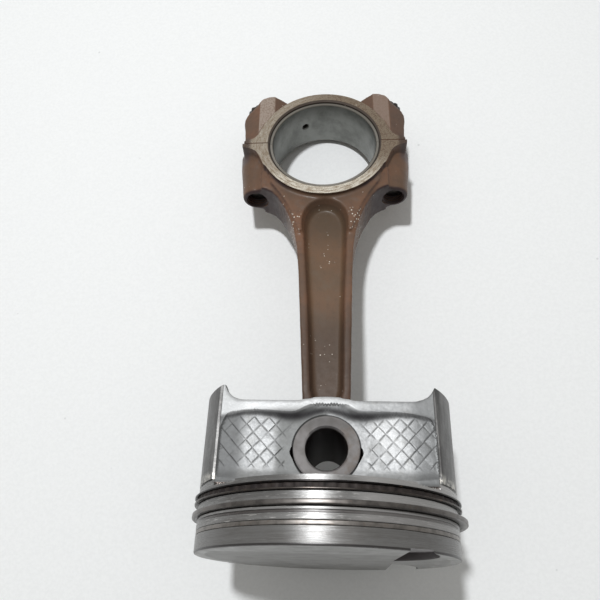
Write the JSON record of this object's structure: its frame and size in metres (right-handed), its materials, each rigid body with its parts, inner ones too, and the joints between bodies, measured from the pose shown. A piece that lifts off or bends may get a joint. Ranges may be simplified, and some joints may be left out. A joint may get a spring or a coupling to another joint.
{
  "type": "engine piston with connecting rod",
  "caption": "Slipper-skirt aluminium piston with spring rings and a wrist pin, hung on a forged connecting rod with a bolted bearing cap and plain bearing shells.",
  "frame": {"origin": "centre of the flat crown face", "axes": "+X across the thrust faces towards the valve-pocket side, +Y from the crown to the big end, +Z along the wrist pin"},
  "size_m": [0.0884, 0.1938, 0.0884],
  "materials": {
    "cast_aluminium": "as-cast boss panels with turned lands, oil stained",
    "ring_iron": "dark oxidised, worn on the running face",
    "rail_steel": "dark oil-stained strip steel",
    "pin_steel": "ground, satin ends",
    "varnished_forging": "forged steel under baked brown oil varnish, machined big-end faces",
    "shell_alloy": "dull grey-green bearing lining",
    "bolt_steel": "black oxide, oily"
  },
  "bodies": {
    "piston": {"piston_body": "cast_aluminium"},
    "top_ring": {"top_compression_ring": "ring_iron"},
    "second_ring": {"second_compression_ring": "ring_iron"},
    "oil_upper_rail": {"oil_ring_upper_rail": "rail_steel"},
    "oil_lower_rail": {"oil_ring_lower_rail": "rail_steel"},
    "oil_expander": {"oil_ring_expander": "rail_steel"},
    "rod": {"connecting_rod": "varnished_forging", "wrist_pin": "pin_steel", "bearing_cap": "varnished_forging", "rod_bearing_shell": "shell_alloy", "cap_bearing_shell": "shell_alloy", "rod_bolt_left": "bolt_steel", "rod_bolt_right": "bolt_steel"}
  },
  "joints": [
    {"name": "rod_swing", "type": "hinge", "parent": "piston", "child": "rod", "pos_m": [0, 0.0297, 0], "axis": [0, 0, 1], "range_deg": [-45, 42.5]},
    {"name": "top_ring_turn", "type": "hinge", "parent": "piston", "child": "top_ring", "pos_m": [0, 0.0058, 0], "axis": [0, 1, 0], "continuous": true},
    {"name": "second_ring_turn", "type": "hinge", "parent": "piston", "child": "second_ring", "pos_m": [0.0006, 0.01077, 0], "axis": [0, 1, 0], "continuous": true},
    {"name": "oil_lower_rail_turn", "type": "hinge", "parent": "piston", "child": "oil_lower_rail", "pos_m": [0, 0.01437, 0], "axis": [0, 1, 0], "continuous": true},
    {"name": "oil_expander_turn", "type": "hinge", "parent": "piston", "child": "oil_expander", "pos_m": [0, 0.0153, 0], "axis": [0, 1, 0], "continuous": true},
    {"name": "oil_upper_rail_turn", "type": "hinge", "parent": "piston", "child": "oil_upper_rail", "pos_m": [0, 0.01623, 0], "axis": [0, 1, 0], "continuous": true}
  ]
}
